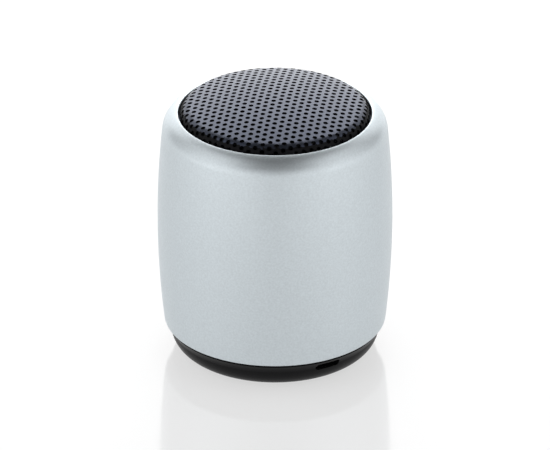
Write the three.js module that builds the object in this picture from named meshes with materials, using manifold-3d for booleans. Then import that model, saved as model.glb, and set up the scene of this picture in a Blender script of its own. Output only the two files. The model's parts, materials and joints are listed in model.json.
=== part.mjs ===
// A small wireless desktop speaker: a barrel-shaped aluminium shell, a domed steel grille on top and a
// plastic base cap under the electronics. Millimetres, +Z up, origin on the resting plane under the
// centre of the body. The charging slot faces -Y.
import * as THREE from "three";
import { mergeVertices } from "three/addons/utils/BufferGeometryUtils.js";
import Module from "manifold-3d";

const wasm = await Module();
wasm.setup();

// ---------------------------------------------------------------- driving dimensions

const BODY_R = 30.0; // widest radius of the barrel
const BARREL_R = 245.7; // radius of the barrel's side, seen in section
const WALL = 1.6; // thickness of the aluminium
const SEAM_Z = 8.1; // lower edge of the shell
const WIDEST_Z = SEAM_Z + 27.4;
const LIP_Z = SEAM_Z + 58.1; // highest ring of the shell
const SHOULDER_R = 5.4; // rounding between the side and the lip
const LIP_R = 24.5; // round opening that the grille fills
const LIP_CHAMFER = 0.35;

const DOME_RISE = 3.78; // top of the grille above the lip
const DOME_EDGE_R = 21.8; // where the shallow dome turns into the rounding
const DOME_FALL = 2.13; // from the middle to there
const GRILLE_T = 0.6;
const SKIRT_R = 24.05; // outside of the grille's skirt
const DOME_EDGE_LEAN = Math.atan((2 * DOME_FALL) / DOME_EDGE_R);
// The rounding touches the dome at its edge and the skirt's side.
const SKIRT_ROUND = (SKIRT_R - DOME_EDGE_R) / (1 - Math.sin(DOME_EDGE_LEAN));
const SKIRT_ROUND_Z = LIP_Z + DOME_RISE - DOME_FALL - SKIRT_ROUND * Math.cos(DOME_EDGE_LEAN);
const FLANGE_R = 25.4; // the grille's flange, trapped under the lip
const FLANGE_Z = 63.1;

const BASE_Z = 0.5; // underside of the base cap, held up by the foot ring
const BASE_FLAT_R = 21.7;
const BASE_ROUND_R = 5.1;
const BASE_RIM_R = 27.9;
const BASE_RIM_Z = SEAM_Z - 0.5; // the shadow gap under the shell
const BASE_FLOOR_Z = 2.3;
const TUBE_R = 26.3; // the base's spigot and the chassis tube share these radii
const TUBE_IN_R = 24.9;
const SPIGOT_Z = 11.6;

const FOOT_IN_R = 14.7;
const FOOT_OUT_R = 20.5;
const GROOVE_Z = 1.3;

const SCREW_RING_R = 17.7; // the base screws' distance from the axis
const SCREW_COUNT = 4;
const SCREW_START = Math.PI / 4;

const BOARD_R = 24.0;
const BOARD_Z = 7.3;
const BOARD_TOP_Z = 8.5;

const SLOT_W = 7.0;
const SLOT_H = 1.95;
const SLOT_Z = SEAM_Z - 2.2;

const CHASSIS_Z = 12.0;
const CHASSIS_TOP_Z = 60.3;
const BULKHEAD_Z = 27.0; // parts the battery space from the sound chamber
const BULKHEAD_TOP_Z = 28.6;

const BUTTON_R = 5.5;
const BUTTON_HOLE_R = 5.9;
const LAMP_Y = 10.6; // the status lamp's distance from the axis

const GAP = 0.1; // between faces that rest on each other
const SIDES = 40;
const INNER_SIDES = 32; // for pieces inside the driver
const SMALL_SIDES = 16;

// ---------------------------------------------------------------- geometry helpers

const degrees = THREE.MathUtils.degToRad;
const inDegrees = THREE.MathUtils.radToDeg;
const polar = (r, angle) => [r * Math.cos(angle), r * Math.sin(angle)];
const around = (count, start) => [...Array(count)].map((_, i) => start + (2 * Math.PI * i) / count);

// A closed geometry as a manifold-3d solid.
function solid(geometry) {
  const bare = geometry.clone();
  bare.deleteAttribute("normal");
  bare.deleteAttribute("uv");
  const merged = mergeVertices(bare, 1e-4);
  return new wasm.Manifold(
    new wasm.Mesh({
      numProp: 3,
      vertProperties: new Float32Array(merged.attributes.position.array),
      triVerts: new Uint32Array(merged.index.array),
    }),
  );
}

function geometryOf(body) {
  const mesh = body.getMesh();
  const geometry = new THREE.BufferGeometry();
  geometry.setAttribute("position", new THREE.BufferAttribute(mesh.vertProperties, 3));
  geometry.setIndex(new THREE.BufferAttribute(mesh.triVerts, 1));
  geometry.computeVertexNormals();
  return geometry;
}

const join = (first, ...others) =>
  geometryOf(others.reduce((body, other) => body.add(solid(other)), solid(first)));
const cut = (first, ...tools) =>
  geometryOf(tools.reduce((body, tool) => body.subtract(solid(tool)), solid(first)));

// Points (radius, height), counter-clockwise round the section, turned about Z. A profile that doesn't
// start on the axis closes on itself.
function lathe(profile, sides = SIDES) {
  const points = profile.map(([r, z]) => new THREE.Vector2(r, z));
  if (profile[0][0] > 0) points.push(points[0].clone());
  return new THREE.LatheGeometry(points, sides).rotateX(Math.PI / 2);
}

const ring = (inner, outer, z0, z1, sides = SIDES) =>
  lathe([[inner, z0], [outer, z0], [outer, z1], [inner, z1]], sides);

// An upright cylinder at (x, y).
const post = (r, z0, z1, x = 0, y = 0, sides = SMALL_SIDES) =>
  new THREE.CylinderGeometry(r, r, z1 - z0, sides).rotateX(Math.PI / 2).translate(x, y, (z0 + z1) / 2);

const box = (x0, x1, y0, y1, z0, z1) =>
  new THREE.BoxGeometry(x1 - x0, y1 - y0, z1 - z0).translate((x0 + x1) / 2, (y0 + y1) / 2, (z0 + z1) / 2);

// Points on a circle's arc in the section plane, from angle a0 to a1 in degrees.
function arc(r, z, radius, a0, a1, steps) {
  const points = [];
  for (let i = 0; i <= steps; i++) {
    const a = degrees(a0 + ((a1 - a0) * i) / steps);
    points.push([r + radius * Math.cos(a), z + radius * Math.sin(a)]);
  }
  return points;
}

// A rectangle with rounded corners, centred on (x, y).
function roundedRectangle(width, height, corner, x = 0, y = 0) {
  const [w, h] = [width / 2 - corner, height / 2 - corner];
  const shape = new THREE.Shape();
  shape.absarc(x + w, y + h, corner, 0, Math.PI / 2);
  shape.absarc(x - w, y + h, corner, Math.PI / 2, Math.PI);
  shape.absarc(x - w, y - h, corner, Math.PI, 1.5 * Math.PI);
  shape.absarc(x + w, y - h, corner, 1.5 * Math.PI, 2 * Math.PI);
  return shape;
}

// A shape drawn in the XZ plane, run along Y from y0 to y1.
const run = (shape, y0, y1) =>
  new THREE.ExtrudeGeometry(shape, { depth: y1 - y0, bevelEnabled: false, curveSegments: 4 })
    .rotateX(Math.PI / 2)
    .translate(0, y1, 0);

// A round wire through the points, with eight sides.
function wire(points, radius, steps) {
  const section = new THREE.Shape();
  section.absarc(0, 0, radius, 0, 2 * Math.PI);
  const path = new THREE.CatmullRomCurve3(
    points.map((p) => new THREE.Vector3(...p)),
    false,
    "centripetal",
  );
  return new THREE.ExtrudeGeometry(section, {
    steps,
    extrudePath: path,
    bevelEnabled: false,
    curveSegments: 4,
  });
}

// ---------------------------------------------------------------- finishes

const finish = (color, roughness, metalness) =>
  new THREE.MeshStandardMaterial({ color, roughness, metalness });

const FINISH = {
  anodised: finish(0xc6cdd1, 0.4, 1.0),
  grilleBlack: finish(0x1c1e24, 0.35, 0.6),
  satinBlack: finish(0x17181a, 0.45, 0.0),
  chassisBlack: finish(0x26272a, 0.6, 0.0),
  silicone: finish(0x101112, 0.85, 0.0),
  cloth: finish(0x0a0a0b, 0.95, 0.0),
  foam: finish(0x2b2b2d, 0.95, 0.0),
  steel: finish(0xb4b6b8, 0.35, 1.0),
  blackSteel: finish(0x2a2c30, 0.45, 0.8),
  magnet: finish(0x8f9296, 0.3, 1.0),
  paper: finish(0x1d1c1b, 0.9, 0.0),
  rubber: finish(0x151515, 0.7, 0.0),
  damper: finish(0xb08a4e, 0.9, 0.0),
  kapton: finish(0xb4742a, 0.4, 0.0),
  copper: finish(0xb46a3c, 0.3, 1.0),
  fibre: finish(0x6b4a2b, 0.8, 0.0),
  brass: finish(0xc9a45a, 0.3, 1.0),
  board: finish(0x14351f, 0.4, 0.0),
  chip: finish(0x151517, 0.6, 0.0),
  ceramic: finish(0xd8d4c8, 0.5, 0.0),
  nylon: finish(0xe6e2d6, 0.5, 0.0),
  foil: finish(0xa9acb0, 0.35, 0.9),
  redWire: finish(0xa5161a, 0.45, 0.0),
  blackWire: finish(0x141414, 0.45, 0.0),
  clear: finish(0xdfe6ea, 0.15, 0.0),
  led: finish(0xe9edda, 0.3, 0.0),
};

const speaker = new THREE.Group();

function add(name, geometry, material, parent = speaker) {
  const mesh = new THREE.Mesh(geometry, material);
  mesh.name = name;
  parent.add(mesh);
  return mesh;
}

// ---------------------------------------------------------------- shell and grille

// Radius of the barrel's side at height z, inset from the outer face.
const barrelRadius = (z, inset = 0) =>
  BODY_R - BARREL_R + Math.sqrt((BARREL_R - inset) ** 2 - (z - WIDEST_Z) ** 2);

function barrelSide(from, to, inset, steps) {
  return [...Array(steps + 1)].map((_, i) => {
    const z = from + ((to - from) * i) / steps;
    return [barrelRadius(z, inset), z];
  });
}

// The shoulder's arc touches the barrel's side, so its centre lies on a circle round the side's centre.
function shellGeometry() {
  const shoulderZ = LIP_Z - SHOULDER_R;
  const lean = Math.asin((shoulderZ - WIDEST_Z) / (BARREL_R - SHOULDER_R));
  const shoulderX = BODY_R - BARREL_R + (BARREL_R - SHOULDER_R) * Math.cos(lean);
  const insideR = SHOULDER_R - WALL;
  const lipAngle = inDegrees(Math.acos((LIP_R + LIP_CHAMFER - shoulderX) / SHOULDER_R));
  const lipInAngle = inDegrees(Math.acos((LIP_R - shoulderX) / insideR));
  const lipTop = shoulderZ + SHOULDER_R * Math.sin(degrees(lipAngle));
  const sideTop = shoulderZ - 1;
  return lathe([
    ...barrelSide(SEAM_Z, sideTop, 0, 7),
    ...arc(shoulderX, shoulderZ, SHOULDER_R, inDegrees(lean), lipAngle, 6),
    [LIP_R, lipTop - LIP_CHAMFER],
    ...arc(shoulderX, shoulderZ, insideR, lipInAngle, inDegrees(lean), 3),
    ...barrelSide(sideTop, SEAM_Z, WALL, 4),
  ]);
}

const domeHeight = (r) => LIP_Z + DOME_RISE - DOME_FALL * (r / DOME_EDGE_R) ** 2;

// The dome's section from the axis to a radius, lowered by depth.
const domeSection = (toRadius, depth, steps) =>
  [...Array(steps + 1)].map((_, i) => {
    const r = toRadius * Math.sqrt(i / steps);
    return [r, domeHeight(r) - depth];
  });

function grilleGeometry() {
  const roundX = SKIRT_R - SKIRT_ROUND;
  const skirtInR = SKIRT_R - GRILLE_T;
  const roundTop = 90 - inDegrees(DOME_EDGE_LEAN);
  return lathe([
    ...domeSection(DOME_EDGE_R - GRILLE_T, GRILLE_T, 6),
    ...arc(roundX, SKIRT_ROUND_Z, SKIRT_ROUND - GRILLE_T, roundTop, 0, 3),
    [skirtInR, FLANGE_Z],
    [FLANGE_R, FLANGE_Z],
    [FLANGE_R, FLANGE_Z + GRILLE_T],
    [SKIRT_R, FLANGE_Z + GRILLE_T],
    ...arc(roundX, SKIRT_ROUND_Z, SKIRT_ROUND, 0, roundTop, 4),
    ...domeSection(DOME_EDGE_R, 0, 6).reverse().slice(1),
  ]);
}

function dustScreenGeometry() {
  const [top, thickness, edge] = [GRILLE_T + 0.3, 0.4, 22.2];
  return lathe([...domeSection(edge, top + thickness, 3), ...domeSection(edge, top, 3).reverse()]);
}

add("outer_shell", shellGeometry(), FINISH.anodised);
add("grille", grilleGeometry(), FINISH.grilleBlack);
add("dust_screen", dustScreenGeometry(), FINISH.cloth);

const BASKET_FLANGE_Z = CHASSIS_TOP_Z + GAP;
const BASKET_TOP_Z = 61.5;
const RING_IN_R = 23.6;
const RING_OUT_R = 25.7;
const RETAINER_Z = 62.3;
add("driver_gasket", ring(RING_IN_R, RING_OUT_R, BASKET_TOP_Z + GAP, RETAINER_Z - GAP), FINISH.foam);
add("grille_retaining_ring", ring(RING_IN_R, RING_OUT_R, RETAINER_Z, FLANGE_Z - GAP), FINISH.chassisBlack);

// ---------------------------------------------------------------- base cap

const SCREW_PLACES = around(SCREW_COUNT, SCREW_START).map((angle) => polar(SCREW_RING_R, angle));
const HEAD_SEAT_Z = 3.0;

function baseCapGeometry() {
  const insideRound = 3.0;
  const cup = lathe([
    [BUTTON_HOLE_R, BASE_Z],
    [FOOT_IN_R - 0.2, BASE_Z],
    [FOOT_IN_R - 0.2, GROOVE_Z],
    [FOOT_OUT_R + 0.2, GROOVE_Z],
    [FOOT_OUT_R + 0.2, BASE_Z],
    ...arc(BASE_FLAT_R, BASE_Z + BASE_ROUND_R, BASE_ROUND_R, -90, 0, 6),
    [BASE_RIM_R, BASE_RIM_Z],
    [TUBE_R, BASE_RIM_Z],
    [TUBE_R, SPIGOT_Z],
    [TUBE_IN_R, SPIGOT_Z],
    ...arc(TUBE_IN_R - insideRound, BASE_FLOOR_Z + insideRound, insideRound, 0, -90, 3),
    [BUTTON_HOLE_R, BASE_FLOOR_Z],
  ]);
  const bosses = SCREW_PLACES.map((place) => post(3.4, 1.8, BOARD_Z - GAP, ...place));
  const counterbores = SCREW_PLACES.map((place) => post(2.6, 0, HEAD_SEAT_Z, ...place));
  const screwHoles = SCREW_PLACES.map((place) => post(1.5, 1, BOARD_TOP_Z, ...place));
  const slot = run(roundedRectangle(SLOT_W, SLOT_H, SLOT_H / 2 - 0.02, 0, SLOT_Z), -30, -23);
  const lampHole = post(1.3, 0, 3, 0, LAMP_Y);
  return cut(join(cup, ...bosses), ...counterbores, ...screwHoles, slot, lampHole);
}

add("base_cap", baseCapGeometry(), FINISH.satinBlack);
add("foot_ring", ring(FOOT_IN_R, FOOT_OUT_R, 0, GROOVE_Z - GAP), FINISH.silicone);

const lightPipe = lathe(
  [[0, 0.8], [1.1, 0.8], [1.1, 2.4], [1.7, 2.4], [1.7, 3.0], [1.1, 3.0], [1.1, 6.4], [0, 6.4]],
  SMALL_SIDES,
);
add("led_light_pipe", lightPipe.translate(0, LAMP_Y, 0), FINISH.clear);

// The flange keeps the button from falling out, and the stem meets the switch.
const BUTTON_FACE_Z = 0.7;
const BUTTON_FLANGE_R = 7.4;
const BUTTON_FLANGE_Z = BASE_FLOOR_Z + GAP;
const BUTTON_FLANGE_TOP_Z = 2.9;
const STEM_R = 1.5;
const STEM_TOP_Z = 3.1;
const powerButton = lathe(
  [
    [0, BUTTON_FACE_Z],
    [BUTTON_R - 0.3, BUTTON_FACE_Z],
    [BUTTON_R, BUTTON_FACE_Z + 0.3],
    [BUTTON_R, BUTTON_FLANGE_Z],
    [BUTTON_FLANGE_R, BUTTON_FLANGE_Z],
    [BUTTON_FLANGE_R, BUTTON_FLANGE_TOP_Z],
    [STEM_R, BUTTON_FLANGE_TOP_Z],
    [STEM_R, STEM_TOP_Z],
    [0, STEM_TOP_Z],
  ],
  INNER_SIDES,
);
add("power_button", powerButton, FINISH.satinBlack);

// A pan-head screw, head down, with a cross recess.
function baseScrewGeometry() {
  const [headZ, headR, shankR, tipZ, tipLength] = [1.4, 2.3, 1.2, 16.9, 1];
  const seatZ = HEAD_SEAT_Z - GAP;
  const screw = lathe(
    [
      [0, headZ],
      [headR - 0.3, headZ],
      [headR, headZ + 0.3],
      [headR, seatZ],
      [shankR, seatZ],
      [shankR, tipZ - tipLength],
      [0, tipZ],
    ],
    12,
  );
  const [reach, half, depth] = [1.3, 0.25, headZ + 0.8];
  return cut(screw, box(-reach, reach, -half, half, 0, depth), box(-half, half, -reach, reach, 0, depth));
}

SCREW_PLACES.forEach(([x, y], i) => {
  const screw = add(`base_screw_${i + 1}`, baseScrewGeometry(), FINISH.steel);
  screw.position.set(x, y, 0);
});

// ---------------------------------------------------------------- inner chassis

const LEAD_HOLE_X = 21.4; // the speaker leads pass through the bulkhead here

function chassisGeometry() {
  const tube = lathe([
    [0, BULKHEAD_Z],
    [TUBE_IN_R, BULKHEAD_Z],
    [TUBE_IN_R, CHASSIS_Z],
    [TUBE_R, CHASSIS_Z],
    [TUBE_R, CHASSIS_TOP_Z],
    [TUBE_IN_R, CHASSIS_TOP_Z],
    [TUBE_IN_R, BULKHEAD_TOP_Z],
    [0, BULKHEAD_TOP_Z],
  ]);
  const intoBulkhead = BULKHEAD_Z + 0.6;
  const posts = SCREW_PLACES.map((place) => post(2.6, BOARD_TOP_Z + GAP, intoBulkhead, ...place));
  const ribs = around(SCREW_COUNT, SCREW_START).map((angle) =>
    box(19.5, 25.4, -0.6, 0.6, CHASSIS_Z + 0.6, intoBulkhead).rotateZ(angle),
  );
  const pilots = SCREW_PLACES.map((place) => post(1.4, BOARD_Z, 18, ...place));
  const leadHole = post(2.4, BULKHEAD_Z - 1, BULKHEAD_TOP_Z + 1, LEAD_HOLE_X, 0);
  return cut(join(tube, ...posts, ...ribs), ...pilots, leadHole);
}

add("inner_chassis", chassisGeometry(), FINISH.chassisBlack);

const grommetGeometry = lathe(
  [
    [1.6, 26.3], [2.9, 26.3], [2.9, 26.9], [2.25, 26.9],
    [2.25, 28.7], [2.9, 28.7], [2.9, 29.3], [1.6, 29.3],
  ],
  SMALL_SIDES,
);
add("wire_grommet", grommetGeometry.translate(LEAD_HOLE_X, 0, 0), FINISH.rubber);

// ---------------------------------------------------------------- loudspeaker driver

const YOKE_R = 13.0;
const YOKE_IN_R = 11.2;
const YOKE_Z = 40.4;
const MAGNET_Z = 42.6;
const PLATE_Z = 47.0;
const YOKE_TOP_Z = 49.4;
const LEDGE_Z = 52.9; // the damper is glued to this ledge
const LEDGE_TOP_Z = 53.7;
const CONE_RIM_R = 18.3;
const CONE_RIM_Z = 61.4;
const CONE_NECK_R = 10.1;
const CONE_NECK_Z = 56.2;
const CONE_T = 0.5;
const FORMER_R = 9.75;

function basketGeometry() {
  const footZ = YOKE_TOP_Z + GAP;
  const wall = lathe([
    [11.5, footZ],
    [14.4, footZ],
    [15.2, LEDGE_Z],
    [18.2, LEDGE_Z],
    [20.2, 56.4],
    [22.6, BASKET_FLANGE_Z],
    [26.0, BASKET_FLANGE_Z],
    [26.0, BASKET_TOP_Z],
    [22.1, BASKET_TOP_Z],
    [22.1, BASKET_TOP_Z - 0.6],
    [19.5, 56.8],
    [17.6, LEDGE_TOP_Z],
    [14.6, LEDGE_TOP_Z],
    [13.8, footZ + 0.8],
    [11.5, footZ + 0.8],
  ]);
  const windows = around(4, 0).map((angle) => box(16.6, 24, -6.5, 6.5, 54.9, 59.3).rotateZ(angle));
  const terminalTab = box(17.0, 22.0, -4.6, 4.6, LEDGE_Z, LEDGE_TOP_Z);
  return cut(join(wall, terminalTab), ...windows);
}

add("driver_basket", basketGeometry(), FINISH.blackSteel);

const yokeGeometry = lathe([
  [0, YOKE_Z],
  [YOKE_R - 0.5, YOKE_Z],
  [YOKE_R, YOKE_Z + 0.5],
  [YOKE_R, YOKE_TOP_Z],
  [YOKE_IN_R, YOKE_TOP_Z],
  [YOKE_IN_R, MAGNET_Z],
  [0, MAGNET_Z],
], INNER_SIDES);
add("driver_yoke", yokeGeometry, FINISH.steel);
add("driver_magnet", post(8.8, MAGNET_Z + GAP, PLATE_Z - GAP, 0, 0, INNER_SIDES), FINISH.magnet);
add("pole_plate", post(9.3, PLATE_Z, YOKE_TOP_Z, 0, 0, INNER_SIDES), FINISH.steel);

// The moving parts: paper cone, dust cap, coil former and winding.
function coneGeometry() {
  const slope = (CONE_RIM_Z - CONE_NECK_Z) / (CONE_RIM_R - CONE_NECK_R);
  const under = (r) => CONE_NECK_Z + (r - CONE_NECK_R) * slope - CONE_T;
  const collarZ = CONE_NECK_Z - CONE_T - 0.6;
  return lathe([
    [CONE_NECK_R, collarZ],
    [CONE_NECK_R + 0.4, collarZ],
    [CONE_NECK_R + 0.7, under(CONE_NECK_R + 0.7)],
    [CONE_RIM_R, CONE_RIM_Z - CONE_T],
    [CONE_RIM_R, CONE_RIM_Z],
    [CONE_NECK_R, CONE_NECK_Z],
  ], INNER_SIDES);
}

add("cone", coneGeometry(), FINISH.paper);

function dustCapGeometry() {
  const [rimR, rimZ, rise, thickness, steps] = [11.0, 56.95, 3.4, 0.4, 4];
  const section = (depth) =>
    [...Array(steps + 1)].map((_, i) => [
      (rimR * i) / steps,
      rimZ + thickness + rise * (1 - (i / steps) ** 2) - depth,
    ]);
  return lathe([...section(thickness), ...section(0).reverse()], INNER_SIDES);
}

add("dust_cap", dustCapGeometry(), FINISH.paper);
add("voice_coil_former", ring(FORMER_R, FORMER_R + 0.2, 45.8, CONE_NECK_Z, INNER_SIDES), FINISH.kapton);
add("voice_coil_winding", ring(FORMER_R + 0.28, FORMER_R + 0.8, 45.9, 50.7, INNER_SIDES), FINISH.copper);

// The rubber roll between the cone and the basket.
function surroundGeometry() {
  const [middle, roll, thickness] = [20.2, 1.8, 0.4];
  const footZ = BASKET_TOP_Z + 0.05;
  return lathe([
    [17.3, footZ],
    ...arc(middle, footZ, roll - thickness, 180, 0, 4),
    [23.4, footZ],
    [23.4, footZ + thickness],
    ...arc(middle, footZ, roll, 13, 167, 5),
    [17.3, footZ + thickness],
  ]);
}

// The damper's waves fade out towards both glued edges.
function damperGeometry() {
  const [inner, outer, waves, height, thickness] = [10.15, 17.3, 1.5, 0.45, 0.3];
  const middleZ = LEDGE_TOP_Z + 0.25;
  const [waveEnd, steps] = [0.6, 10];
  const line = (lift) =>
    [...Array(steps + 1)].map((_, i) => {
      const t = i / steps;
      const u = Math.min(1, t / waveEnd);
      const wave = Math.sin(2 * Math.PI * waves * u) * Math.sin(Math.PI * u);
      return [inner + (outer - inner) * t, middleZ + height * wave + lift];
    });
  return lathe([...line(-thickness / 2), ...line(thickness / 2).reverse()], INNER_SIDES);
}

add("surround", surroundGeometry(), FINISH.rubber);
add("damper", damperGeometry(), FINISH.damper);

// Terminal board, its two lugs and the flexible leads that feed the coil.
add("terminal_board", box(19.7, 21.8, -4.3, 4.3, LEDGE_TOP_Z + GAP, 54.7), FINISH.fibre);
for (const [pole, side] of [["positive", 1], ["negative", -1]]) {
  const y = 2.6 * side;
  add(`terminal_lug_${pole}`, box(19.9, 22.9, y - 0.9, y + 0.9, 54.75, 55.15), FINISH.brass);
  const tinsel = wire(
    [[20.2, y, 55.5], [18.6, y, 56.1], [16.6, 0.95 * y, 56.2], [14.8, 0.9 * y, 57.2], [13.6, 0.85 * y, 57.2]],
    0.25,
    10,
  );
  add(`tinsel_lead_${pole}`, tinsel, FINISH.copper);
}

// ---------------------------------------------------------------- battery

// The pack lies turned by 45 degrees, between the four chassis posts.
const pack = new THREE.Group();
pack.rotation.z = SCREW_START;
speaker.add(pack);

const CELL_Z = 17.6;
const CELL_TOP_Z = 25.9;
const CELL_EDGE = 0.8;
const cellOutline = roundedRectangle(26.8, 24.8, 1.6, 0, -0.6);
const cellGeometry = new THREE.ExtrudeGeometry(cellOutline, {
  depth: CELL_TOP_Z - CELL_Z - 2 * CELL_EDGE,
  bevelSize: CELL_EDGE,
  bevelThickness: CELL_EDGE,
  bevelSegments: 2,
  curveSegments: 3,
});
add("battery_cell", cellGeometry.translate(0, 0, CELL_Z + CELL_EDGE), FINISH.foil, pack);
add("battery_foam_pad", box(-10, 10, -10, 8.5, CELL_TOP_Z + GAP, BULKHEAD_Z - GAP), FINISH.foam, pack);
add("battery_protection_board", box(-10, 10, 12.9, 13.8, 18.6, 24.6), FINISH.board, pack);

// ---------------------------------------------------------------- main board

function mainBoardGeometry() {
  const disc = post(BOARD_R, BOARD_Z, BOARD_TOP_Z, 0, 0, SIDES);
  const frontFlat = box(-8, 8, -26, -23.4, 6, 10);
  return cut(disc, frontFlat, ...SCREW_PLACES.map((place) => post(1.5, 6, 10, ...place)));
}

add("main_board", mainBoardGeometry(), FINISH.board);

// Components on the upper face: centre, width, depth and height.
const TOP_FACE_Z = BOARD_TOP_Z + 0.05;
const onBoard = (x, y, width, depth, height) =>
  box(x - width / 2, x + width / 2, y - depth / 2, y + depth / 2, TOP_FACE_Z, TOP_FACE_Z + height);
add("wireless_ic", onBoard(-3.0, 2.5, 6.0, 6.0, 0.9), FINISH.chip);
add("amplifier_ic", onBoard(8.5, -8.0, 4.9, 3.9, 1.5), FINISH.chip);
add("charger_ic", onBoard(-2.5, -18.0, 2.9, 1.6, 1.1), FINISH.chip);
add("crystal_oscillator", onBoard(-9.5, 4.5, 2.5, 3.2, 0.8), FINISH.steel);
add("power_inductor", onBoard(-8.5, -6.5, 5.0, 5.0, 3.0), FINISH.chip);
add("chip_antenna", onBoard(-20.5, 0, 2.0, 7.0, 1.2), FINISH.ceramic);
add("bulk_capacitor", post(2.6, TOP_FACE_Z, 14.0, 1.5, -11.0, 20), FINISH.foil);

// The battery's socket is a tray on the board, and the plug stands inside it.
const SOCKET_X = 4.5;
const SOCKET_Y = 14.0;
const socketTray = cut(
  onBoard(SOCKET_X, SOCKET_Y, 7.5, 4.5, 3.6),
  box(SOCKET_X - 3.1, SOCKET_X + 3.1, SOCKET_Y - 1.6, SOCKET_Y + 1.6, BOARD_TOP_Z + 0.8, 14),
);
add("battery_socket", socketTray, FINISH.nylon);
add(
  "battery_plug",
  box(SOCKET_X - 2.8, SOCKET_X + 2.8, SOCKET_Y - 1.3, SOCKET_Y + 1.3, BOARD_TOP_Z + 1.0, 13.6),
  FINISH.nylon,
);

// Components on the lower face: charging socket, push switch and lamp.
const UNDER_FACE_Z = BOARD_Z - 0.05;
const SOCKET_FRONT_Y = -24.35;
const SOCKET_BACK_Y = -19.4;

function chargingSocketGeometry() {
  const shell = run(roundedRectangle(7.5, 2.6, 0.6, 0, SLOT_Z), SOCKET_FRONT_Y, SOCKET_BACK_Y);
  const [halfW, narrowW, halfH, stepZ] = [3.45, 2.7, 0.93, -0.15];
  const mouth = new THREE.Shape(
    [
      [-halfW, halfH], [-halfW, stepZ], [-narrowW, -halfH],
      [narrowW, -halfH], [halfW, stepZ], [halfW, halfH],
    ].map(([x, z]) => new THREE.Vector2(x, SLOT_Z + z)),
  );
  return cut(shell, run(mouth, SOCKET_FRONT_Y - 1, SOCKET_BACK_Y - 0.6));
}

add("charging_socket", chargingSocketGeometry(), FINISH.steel);
add(
  "socket_tongue",
  box(-1.9, 1.9, SOCKET_FRONT_Y + 0.6, SOCKET_BACK_Y - 0.65, SLOT_Z + 0.05, SLOT_Z + 0.65),
  FINISH.chip,
);

const PLUNGER_Z = STEM_TOP_Z + GAP;
const PLUNGER_R = 1.7;
const switchBody = cut(box(-3, 3, -3, 3, 3.9, UNDER_FACE_Z), post(PLUNGER_R + 0.3, 3, 5.6));
add("tactile_switch", switchBody, FINISH.chip);
add("switch_plunger", post(PLUNGER_R, PLUNGER_Z, 5.0), FINISH.nylon);
add("status_led", box(-0.8, 0.8, LAMP_Y - 0.5, LAMP_Y + 0.5, 6.6, UNDER_FACE_Z), FINISH.led);

// ---------------------------------------------------------------- wires

// Each pair of leads runs side by side.
const LEAD_R = 0.5;
for (const [colour, side, insulation] of [
  ["red", 1, FINISH.redWire],
  ["black", -1, FINISH.blackWire],
]) {
  const speakerLead = wire(
    [
      [19.4, 3.0 * side, 9.1],
      [19.6, 2.9 * side, 11],
      [21.4, 1.6 * side, 14.5],
      [22.2, 0.7 * side, 19],
      [LEAD_HOLE_X, 0.7 * side, 26],
      [LEAD_HOLE_X, 0.7 * side, 30],
      [20.6, 1.2 * side, 36],
      [21.4, 2.0 * side, 45],
      [22.9, 2.6 * side, 50.5],
      [22.9, 2.6 * side, 52.2],
      [23.2, 2.6 * side, 54.2],
    ],
    LEAD_R,
    28,
  );
  add(`speaker_lead_${colour}`, speakerLead, insulation);
  // The red lead lies outside the black one, and both stay clear of the cell.
  const x = SOCKET_X + 1.2 * side;
  const batteryLead = wire(
    [
      [x, SOCKET_Y, 13.95],
      [x - 0.3, SOCKET_Y + 0.8, 15.1],
      [1.45 + 0.55 * side, 16.45 + 0.55 * side, 16.0],
      [-2.3 - 0.1 * side, 17.45 + 0.65 * side, 16.6],
      [-4.6 - 0.7 * side, 17.0 + 0.2 * side, 18.4],
      [-5.0 - 0.8 * side, 15.7 - 0.65 * side, 21.6],
    ],
    LEAD_R,
    14,
  );
  add(`battery_lead_${colour}`, batteryLead, insulation);
}

export default speaker;
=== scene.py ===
import json
import math

import bmesh
import bpy
from mathutils import Matrix, Vector
from mathutils.geometry import delaunay_2d_cdt


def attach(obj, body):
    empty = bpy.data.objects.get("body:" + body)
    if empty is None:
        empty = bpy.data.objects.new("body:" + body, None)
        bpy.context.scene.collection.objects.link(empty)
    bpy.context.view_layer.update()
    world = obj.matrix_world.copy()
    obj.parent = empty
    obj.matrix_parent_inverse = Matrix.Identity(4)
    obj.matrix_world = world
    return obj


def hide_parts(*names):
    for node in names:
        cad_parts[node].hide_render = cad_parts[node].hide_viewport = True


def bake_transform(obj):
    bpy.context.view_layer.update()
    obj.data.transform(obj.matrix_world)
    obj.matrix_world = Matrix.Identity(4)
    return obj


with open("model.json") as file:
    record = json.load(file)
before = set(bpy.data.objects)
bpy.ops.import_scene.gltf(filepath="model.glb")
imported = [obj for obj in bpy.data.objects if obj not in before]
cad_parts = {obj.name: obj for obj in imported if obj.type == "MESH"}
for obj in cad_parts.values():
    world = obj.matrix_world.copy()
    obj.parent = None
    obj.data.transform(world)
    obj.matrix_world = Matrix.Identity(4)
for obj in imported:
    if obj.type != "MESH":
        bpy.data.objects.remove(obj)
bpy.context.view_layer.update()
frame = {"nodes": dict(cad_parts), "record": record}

MM = 0.001

# ---------------------------------------------------------------- sizes

# In metres, repeated from the CAD model.

BODY_R = 30.0 * MM
BARREL_R = 245.7 * MM  # radius of the barrel's side, seen in section
WALL = 1.6 * MM
SEAM_Z = 8.1 * MM
WIDEST_Z = SEAM_Z + 27.4 * MM
LIP_Z = SEAM_Z + 58.1 * MM
SHOULDER_R = 5.4 * MM
LIP_R = 24.5 * MM
LIP_ROLL = 0.3 * MM

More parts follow.
